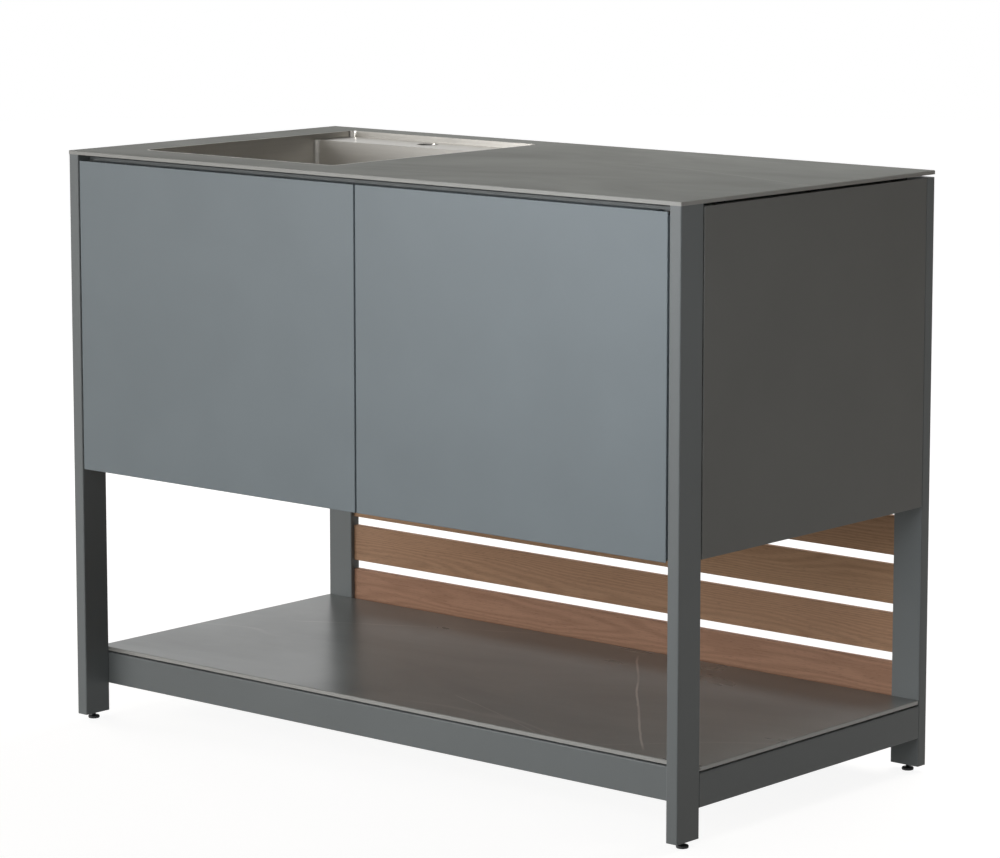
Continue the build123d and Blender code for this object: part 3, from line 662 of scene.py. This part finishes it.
class SINKUNIT_OT_finish_stone(bpy.types.Operator):
    """Finish the worktop and the shelf in sintered stone"""
    bl_idname = "sink_unit.finish_stone"
    bl_label = "Finish Stone"

    def execute(self, context):
        stone = context.scene.sink_unit_stone
        top, low = UNIT_TOP, SHELF_TOP
        top_veins = (
            ((0.26, 0.09, top), (0.6, -0.01, top), 6 * MM, 3 * MM, 0.5),
            ((0.16, 0.262, top), (0.4, 0.24, top), -5 * MM, 4 * MM, 0.45),
            ((-0.52, -0.27, top), (0.1, -0.2, top), 9 * MM, 2.5 * MM, 0.3))
        shelf_veins = (
            ((0.09, 0.25, low), (0.487, -0.234, low), -4 * MM, 2.4 * MM, 1),
            ((0.05, -0.14, low), (0.31, -0.25, low), 4 * MM, 2 * MM, 0.3),
            ((-0.5, 0.08, low), (-0.12, 0.27, low), 7 * MM, 3 * MM, 0.3))
        worktop = sintered_stone(
            "honed_sintered_stone_worktop", (stone.top_dark, stone.top_light, stone.top_vein),
            stone, 0.52, 0.25, top_veins)
        shelf = sintered_stone(
            "polished_sintered_stone_shelf", (stone.shelf_dark, stone.shelf_light, stone.shelf_vein),
            stone, 0.29, 0.8, shelf_veins)
        finish_nodes(worktop, "worktop")
        finish_nodes(shelf, "shelf")
        return {"FINISHED"}


class SINKUNIT_OT_oil_slats(bpy.types.Operator):
    """Finish the slats of the back in oiled teak, and their dowels"""
    bl_idname = "sink_unit.oil_slats"
    bl_label = "Oil Slats"

    def execute(self, context):
        wood = oiled_teak("oiled_teak", context.scene.sink_unit_wood)
        zinc = zinc_plated_steel("zinc_plated_dowels", context.scene.sink_unit_small_parts.zinc)
        finish_nodes(wood, *[name for name in NODES if name.startswith("slat_") and name != "slat_dowels"])
        finish_nodes(zinc, "slat_dowels")
        return {"FINISHED"}


class SINKUNIT_OT_finish_cabinet(bpy.types.Operator):
    """Finish the cabinet's boards"""
    bl_idname = "sink_unit.finish_cabinet"
    bl_label = "Finish Cabinet"

    def execute(self, context):
        board = melamine_board("melamine_faced_board", context.scene.sink_unit_small_parts.board)
        finish_nodes(board, "cabinet_floor", "divider", "cabinet_back")
        return {"FINISHED"}


class SINKUNIT_OT_finish_sink(bpy.types.Operator):
    """Finish the sink in brushed steel and seal it into the stone"""
    bl_idname = "sink_unit.finish_sink"
    bl_label = "Finish Sink"

    def execute(self, context):
        small = context.scene.sink_unit_small_parts
        steel = brushed_stainless("brushed_stainless_sink", small.steel, small.brushing)
        finish_nodes(steel, "sink_bowl", "tap_ledge")
        finish_nodes(zinc_plated_steel("zinc_plated_clips", small.zinc), "sink_clips")
        self.seal(moulded_plastic("cured_silicone_sealant", small.sealant, 0.4))
        return {"FINISHED"}

    @staticmethod
    def seal(material):
        """Hollow bead of sealant round the rim, whose front is nearer to the unit's middle than its back."""
        sheet, corner, joint, sunk, deep, nearer = 2 * MM, 12 * MM, 0.5 * MM, 0.3 * MM, 2 * MM, 30 * MM
        low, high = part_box("tap_ledge")
        left, right = low.x - sheet + corner, high.x + sheet - corner
        front, back = nearer - high.y + corner, high.y + sheet - corner
        centres = ((right, back), (left, back), (left, front), (right, front))
        section = [(0, -deep), (0, -sunk), (joint / 2, -sunk - joint / 3), (joint, -sunk), (joint, -deep)]
        shape = bmesh.new()
        rings = []
        for out, drop in section:
            ring = []
            for quarter, (centre_x, centre_y) in enumerate(centres):
                for step in range(7):
                    x, y = on_circle(corner + out, (quarter + step / 6) / 4)
                    ring.append(shape.verts.new((centre_x + x, centre_y + y, UNIT_TOP + drop)))
            rings.append(ring)
        join_rings(shape, rings + rings[:1])
        add_piece("sink_sealant", shape, material, "frame")


class SINKUNIT_OT_build_waste(bpy.types.Operator):
    """Build the sink's waste with its threaded tail and its strainer"""
    bl_idname = "sink_unit.build_waste"
    bl_label = "Build Waste"

    def execute(self, context):
        small = context.scene.sink_unit_small_parts
        steel = brushed_stainless("brushed_stainless_waste", small.steel, small.brushing)
        self.turn_body(steel, small.tail_pitch / MM)
        self.press_strainer(steel)
        finish_nodes(moulded_plastic("moulded_nut_plastic", small.plastic, 0.5), "waste_nut")
        finish_nodes(moulded_plastic("moulded_nitrile_rubber", small.rubber, 0.75), "waste_gasket")
        return {"FINISHED"}

    @staticmethod
    def turn_body(steel, pitch):
        """Cup with a rounded flange, a seat for the strainer and a thread on its tail."""
        at, flange, low, high = upright_size("waste_body")
        sheet, cup, wall, tail, bore, depth = 1.5, 44.5, 2.5, 23.9, 20, 1.2
        inner, seat = cup - wall, cup - wall - 4
        drain = high - sheet
        ledge, under = drain - 8, drain - 45
        well = under + wall
        inside = [
            (flange - sheet, high), (inner + 1.2, high), (inner + 0.3, high - 0.4), (inner, high - 1.4),
            (inner, ledge + 0.6), (inner - 0.6, ledge), (seat + 0.5, ledge), (seat, ledge - 0.5),
            (seat, well + 5), (seat - 1.5, well + 1.5), (seat - 5, well), (bore + 1.5, well),
            (bore, well - 1.5), (bore, low + 0.5), (bore + 0.5, low), (tail - 1.6, low)]
        rows = THREAD_ROWS * round((under - low) / pitch)
        threaded = [(tail, low + 1 + (under - 3 - low) * row / rows, 1) for row in range(rows)]
        outside = [
            (tail - depth, under - 1.6), (tail - depth, under), (cup - 3, under), (cup - 0.9, under + 0.9),
            (cup, under + 3), (cup, drain), (flange - 0.2, drain), (flange, drain + 0.3),
            (flange - 0.3, high - 0.5)]
        shape = bmesh.new()
        turn(shape, inside + threaded + outside, at, 96, thread(pitch, depth), hollow=True)
        add_piece("waste_body_threaded", shape, steel, "frame", ("waste_body",), 40)

    @staticmethod
    def press_strainer(steel):
        """Deep-drawn basket with a rolled rim, a finely drilled floor and a turned knob."""
        at, rim, low, high = upright_size("strainer_basket")
        sheet, side = 1.2, rim - 5.5
        inner, deck = side - sheet, low + sheet
        wall = [
            (side - 4, low), (side - 2.2, low + 0.3), (side - 0.7, low + 1.5), (side, low + 3.6),
            (side, high - sheet - 0.8), (side + 0.8, high - sheet), (rim - 0.6, high - sheet),
            (rim, high - sheet / 2), (rim - 0.6, high), (side + 0.4, high), (side - 0.7, high - 0.5),
            (inner, high - 1.8), (inner, low + 3.8), (inner - 0.6, low + 2.2), (inner - 1.8, deck + 0.2),
            (side - 4, deck)]
        knob = [
            (3.4, deck), (3.4, deck + 0.6), (2.4, deck + 1.4), (2.2, high - 6.5), (2.8, high - 5),
            (4.4, high - 4.2), (5, high - 3), (5, high - 1.4), (4.2, high - 0.4), (2.6, high)]
        holes = ((9, 8), (14.5, 13), (20, 18), (25.5, 23))
        shape = bmesh.new()
        turn(shape, wall, at, 96, hollow=True)
        drilled_disc(shape, side - 3.8, sheet, at + MM * Vector((0, 0, low + sheet / 2)), holes, 1.4)
        turn(shape, knob, at, 40)
        add_piece(
            "strainer_basket_drilled", shape, steel, "strainer", ("strainer_basket",), 40)


class SINKUNIT_OT_build_feet(bpy.types.Operator):
    """Build the levelling feet with their ribbed discs and threaded stems"""
    bl_idname = "sink_unit.build_feet"
    bl_label = "Build Feet"

    def execute(self, context):
        small = context.scene.sink_unit_small_parts
        plastic = moulded_plastic("moulded_foot_polyamide", small.plastic, 0.5)
        pitch = small.foot_pitch / MM
        disc, stem, threaded = 5, 3, 29
        rows = THREAD_ROWS * round((threaded - disc) / pitch)
        for name in ("foot_front_left", "foot_front_right", "foot_back_left", "foot_back_right"):
            at, radius, _, high = upright_size(name)
            ribbed = [
                (radius - 1.8, 0), (radius - 0.6, 0.3), (radius, 1.1, 0.02), (radius, 3.4, 0.05),
                (radius - 0.5, 4.2, 0.04), (radius - 1.6, 4.7), (stem + 0.6, disc), (stem + 0.2, disc + 0.1),
                (stem, disc + 0.4)]
            screwed = [(stem, disc + (threaded - disc) * row / rows, 1) for row in range(rows + 1)]
            plain = [(stem - 0.4, threaded), (stem, threaded + 0.4), (stem, high - 0.6), (stem - 0.6, high)]
            shape = bmesh.new()
            turn(shape, ribbed, at, 6 * small.foot_ribs, flutes(small.foot_ribs))
            turn(shape, screwed, at, 24, thread(pitch, 0.45))
            turn(shape, plain, at, 24)
            add_piece(f"{name}_levelling", shape, plastic, name, (name,))
        finish_nodes(plastic, "leg_end_plugs")
        return {"FINISHED"}


class SINKUNIT_OT_build_screws(bpy.types.Operator):
    """Build the screws with their domed heads and six-lobed sockets"""
    bl_idname = "sink_unit.build_screws"
    bl_label = "Build Screws"

    def execute(self, context):
        zinc = zinc_plated_steel("zinc_plated_screws", context.scene.sink_unit_small_parts.zinc)
        shape = bmesh.new()
        for low, high in loose_boxes("panel_screws"):
            self.add_screw(shape, low, high)
        add_piece("panel_screws_socketed", shape, zinc, "frame", ("panel_screws",))
        return {"FINISHED"}

    @staticmethod
    def add_screw(shape, low, high):
        """Head at the inner or lower end, as long as the solid that it stands for."""
        size = high - low
        length = max(size)
        upwards = Vector((0, 0, 1))
        outward = upwards if size.z == length else Vector((math.copysign(1, low.x), 0, 0))
        head, shank, under_head, tip = 4, 2, 2.5, length / MM
        profile = [
            (1.2, 1.1, 0.18), (1.3, 0.15, 0.18), (1.7, 0), (2.9, 0.3), (3.7, 1), (head, 1.9),
            (head, under_head), (shank, under_head), (shank, tip - 1.5), (shank / 2, tip)]
        verts = turn(shape, profile, Vector(), 36, flutes(6))
        facing = upwards.rotation_difference(outward).to_matrix().to_4x4()
        facing.translation = (low + high) / 2 - outward * length / 2
        bmesh.ops.transform(shape, matrix=facing, verts=verts)


class SINKUNIT_OT_finish_small_parts(bpy.types.Operator):
    """Finish the pads, the door stops and the push latches"""
    bl_idname = "sink_unit.finish_small_parts"
    bl_label = "Finish Small Parts"

    def execute(self, context):
        small = context.scene.sink_unit_small_parts
        rubber = moulded_plastic("moulded_rubber_pads", small.rubber, 0.75)
        plastic = moulded_plastic("moulded_latch_polyamide", small.plastic, 0.5)
        finish_nodes(rubber, "support_pads", "door_buffers")
        finish_nodes(plastic, "latch_housings", "left_latch_plunger", "right_latch_plunger")
        return {"FINISHED"}


class SINKUNIT_OT_set_stage(bpy.types.Operator):
    """Set up the floor, the lamps, the white background and the camera"""
    bl_idname = "sink_unit.set_stage"
    bl_label = "Set Stage"

    def execute(self, context):
        stage = context.scene.sink_unit_stage
        context.scene.view_settings.view_transform = "Standard"
        self.lay_floor(context, stage)
        self.light_world(context, stage)
        middle, door_corner = (0, 0, 0.45), (0.5, -0.3, 0.95)
        hang = self.hang_softbox
        hang("key_softbox", (-2.1, -3.4, 1.2), middle, (3, 2.2), stage.key)
        hang("key_mirrored", (-2.1, -3.4, 1.2), middle, (3, 2.2), stage.key_seen, glossy=True)
        hang("front_softbox", (0.6, -3.9, 0.75), middle, (2.6, 1.4), stage.front)
        near = hang("near_softbox", (1, -1.6, 1.3), door_corner, (0.8, 0.8), stage.near, "#F2F7FF")
        near.spread = math.radians(70)
        hang("glint_softbox", (-1.8, -3.4, 1.7), middle, (1.4, 1.6), stage.glint, glossy=True, diffuse=False)
        hang("top_softbox", (0.2, 1.9, 2.8), middle, (3, 1.6), stage.top)
        hang("right_softbox", (3.4, 0.2, 2), middle, (1.8, 1.6), stage.right, "#FFE8CC")
        hang("left_softbox", (-3.6, 0, 1.6), middle, (2, 2), stage.left)
        self.set_camera(context, stage)
        return {"FINISHED"}

    @staticmethod
    def lay_floor(context, stage):
        """Round floor under the unit's feet."""
        shape = bmesh.new()
        bmesh.ops.create_circle(shape, cap_ends=True, segments=96, radius=12)
        mesh = bpy.data.meshes.new("studio_floor")
        shape.to_mesh(mesh)
        shape.free()
        mesh.materials.append(studio_floor("painted_studio_floor", stage.floor))
        floor = bpy.data.objects.new("studio_floor", mesh)
        context.scene.collection.objects.link(floor)

    @staticmethod
    def light_world(context, stage):
        """Even light from all round; seen it is white, mirrored it is a low backdrop and a soft ceiling."""
        world = bpy.data.worlds.new("studio_world")
        world.use_nodes = True
        tree = world.node_tree
        tree.nodes.clear()
        direction = add_node(tree, "TexCoord").outputs["Generated"]
        up = add_node(tree, "SeparateXYZ", (direction,)).outputs["Z"]
        backdrop = add_node(tree, "MapRange", (up, 0.3, 0.6, 1, 0), interpolation_type="SMOOTHSTEP")

        # The backdrop ends towards the back right, which the bowl's left wall mirrors as a dark side
        aside = add_node(tree, "VectorMath", (direction, (0.65, 0.76, 0)), operation="DOT_PRODUCT")
        sweep = add_node(tree, "MapRange", (aside, 0.2, 0.55, 1, 0), interpolation_type="SMOOTHSTEP")
        wall = add_node(tree, "Math", (backdrop, sweep), operation="MULTIPLY")
        ceiling = add_node(tree, "MapRange", (up, 0.65, 0.85, 0, 0.4), interpolation_type="SMOOTHSTEP")
        studio = add_node(tree, "Math", (wall, ceiling), operation="MAXIMUM")
        ambient = add_node(tree, "Background", ((1, 1, 1, 1), stage.world))
        white = add_node(tree, "Background", ((1, 1, 1, 1), 1))
        both = add_node(tree, "MixShader", (white_rays(tree, studio), ambient, white))
        add_node(tree, "OutputWorld", (both,))
        context.scene.world = world

    @staticmethod
    def hang_softbox(name, at, aim, size, level, hex_colour="#FFFFFF", glossy=False, diffuse=True):
        """Rectangular softbox whose power gives a face that looks at it from the aim a stated level."""
        lamp = bpy.data.lights.new(name, "AREA")
        lamp.shape = "RECTANGLE"
        lamp.size, lamp.size_y = size
        lamp.color = linear(hex_colour)
        way = Vector(aim) - Vector(at)
        lamp.energy = level * math.pi ** 2 * way.length_squared
        lamp_object = bpy.data.objects.new(name, lamp)
        lamp_object.location = at
        lamp_object.rotation_euler = way.to_track_quat("-Z", "Y").to_euler()
        lamp_object.visible_camera = False
        lamp_object.visible_glossy = glossy
        lamp_object.visible_diffuse = diffuse
        bpy.context.scene.collection.objects.link(lamp_object)
        return lamp

    @staticmethod
    def set_camera(context, stage):
        """Camera at the photograph's viewing angle."""
        data = bpy.data.cameras.new("product_camera")
        data.lens = stage.lens
        data.shift_y = stage.shift
        data.clip_end = 60
        camera = bpy.data.objects.new("product_camera", data)
        camera.location = stage.camera_at
        flat = math.cos(stage.tilt)
        look = Vector((
            -math.sin(stage.azimuth) * flat, math.cos(stage.azimuth) * flat, -math.sin(stage.tilt)))
        camera.rotation_euler = look.to_track_quat("-Z", "Y").to_euler()
        context.scene.collection.objects.link(camera)
        context.scene.camera = camera


# --- Panel and registration ---------------------------------------------------------------------------

OPERATORS = (
    SINKUNIT_OT_coat_frame,
    SINKUNIT_OT_coat_doors,
    SINKUNIT_OT_coat_panels,
    SINKUNIT_OT_finish_stone,
    SINKUNIT_OT_oil_slats,
    SINKUNIT_OT_finish_cabinet,
    SINKUNIT_OT_finish_sink,
    SINKUNIT_OT_build_waste,
    SINKUNIT_OT_build_feet,
    SINKUNIT_OT_build_screws,
    SINKUNIT_OT_finish_small_parts,
    SINKUNIT_OT_set_stage,
)


class SINKUNIT_PT_panel(bpy.types.Panel):
    """The unit's operators and settings, in the 3D view's sidebar"""
    bl_idname = "SINKUNIT_PT_panel"
    bl_label = "Sink Unit"
    bl_space_type = "VIEW_3D"
    bl_region_type = "UI"
    bl_category = "Sink Unit"

    def draw(self, context):
        for operator in OPERATORS:
            self.layout.operator(operator.bl_idname)
        for name, group in SETTINGS.items():
            box = self.layout.box()
            for setting in group.__annotations__:
                box.prop(getattr(context.scene, name), setting)


def register():
    """Register the settings, the operators and the panel."""
    for name, group in SETTINGS.items():
        bpy.utils.register_class(group)
        setattr(bpy.types.Scene, name, PointerProperty(type=group))
    for operator in OPERATORS:
        bpy.utils.register_class(operator)
    bpy.utils.register_class(SINKUNIT_PT_panel)


def unregister():
    """Take back all that was registered."""
    bpy.utils.unregister_class(SINKUNIT_PT_panel)
    for operator in reversed(OPERATORS):
        bpy.utils.unregister_class(operator)
    for name, group in SETTINGS.items():
        delattr(bpy.types.Scene, name)
        bpy.utils.unregister_class(group)


def main():
    """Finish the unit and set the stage."""
    register()
    for operator in OPERATORS:
        group, name = operator.bl_idname.split(".")
        getattr(getattr(bpy.ops, group), name)()


if __name__ == "__main__":
    main()
